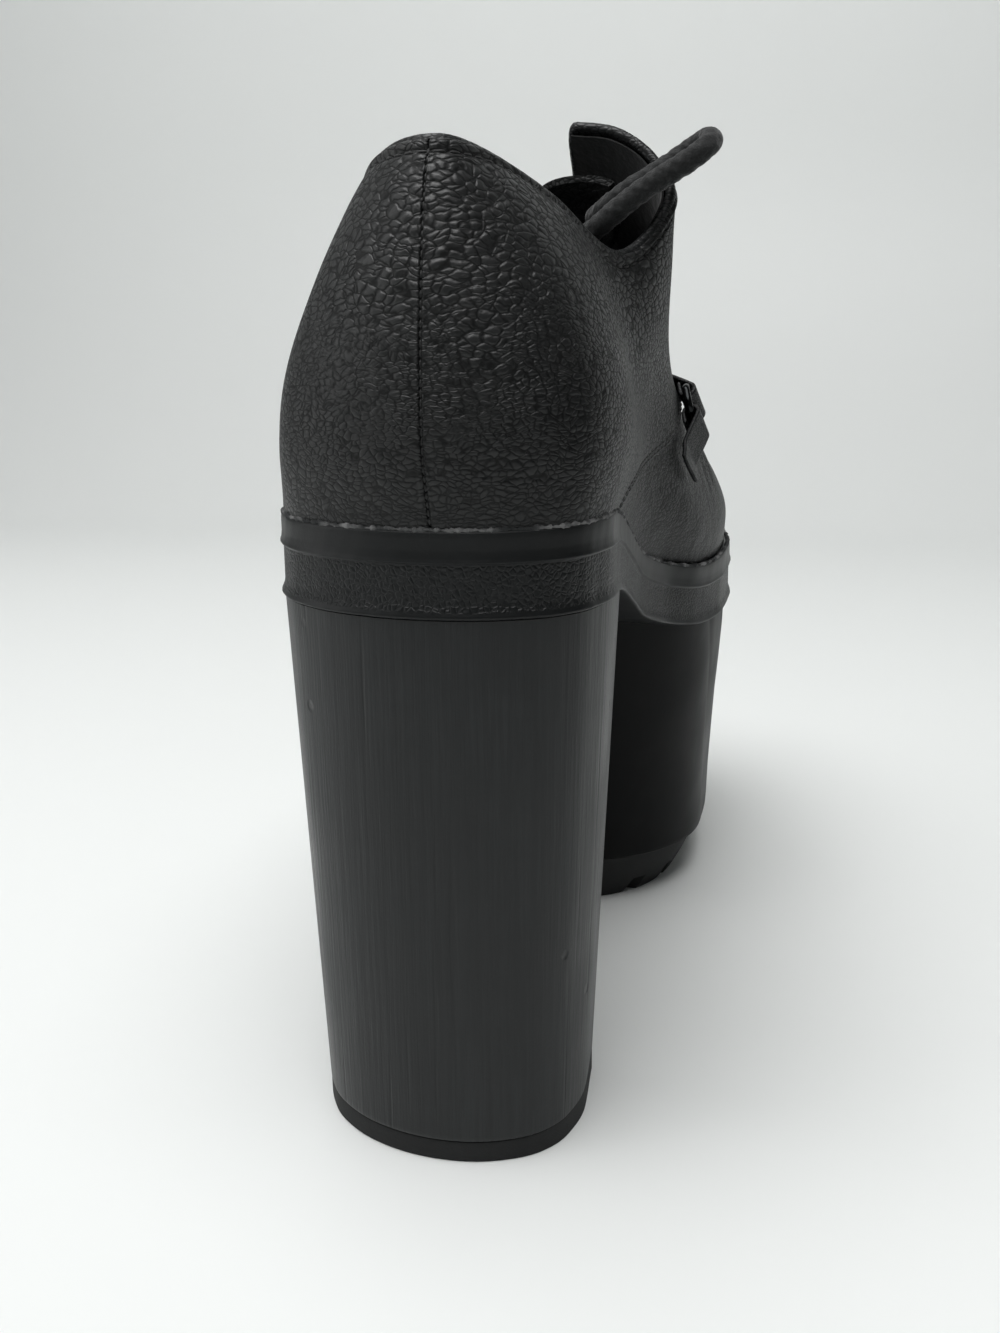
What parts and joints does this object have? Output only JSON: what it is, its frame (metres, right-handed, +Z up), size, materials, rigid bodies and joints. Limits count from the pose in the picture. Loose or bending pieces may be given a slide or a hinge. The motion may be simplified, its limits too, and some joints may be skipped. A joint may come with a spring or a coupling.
{
  "type": "platform shoe",
  "caption": "Left lace-up platform derby with a tall block heel, a banded platform sole, a lugged forefoot tread, open collar and throat, and a ringed strap over the vamp.",
  "frame": {"origin": "on the floor under the middle of the heel's top piece", "axes": "+Y from the heel to the toe, +X to the inner (medial) side of this left shoe, +Z up"},
  "size_m": [0.0957, 0.2508, 0.2047],
  "materials": {
    "sole": "moulded black sole unit, satin, with a finely textured band",
    "rubber": "matt black rubber",
    "heel": "satin dark grey-black with a fine upright grain",
    "insole": "smooth black sock",
    "upper_leather": "black pebbled leather, semi-matt",
    "tongue_leather": "black leather, semi-matt",
    "black_metal": "glossy black",
    "lace": "round woven black cord"
  },
  "bodies": {
    "root": {"sole_unit": "sole", "forefoot_tread": "rubber", "heel_block": "heel", "toplift": "rubber", "insole": "insole", "upper": "upper_leather", "tongue": "tongue_leather", "vamp_strap": "upper_leather", "ring_tab_inner": "upper_leather", "ring_tab_outer": "upper_leather", "ring_inner": "black_metal", "ring_outer": "black_metal", "lace_bars": "lace", "lace_loop": "lace", "eyelet_inner_1": "black_metal", "eyelet_inner_2": "black_metal", "eyelet_inner_3": "black_metal", "eyelet_outer_1": "black_metal", "eyelet_outer_2": "black_metal", "eyelet_outer_3": "black_metal"}
  },
  "joints": []
}
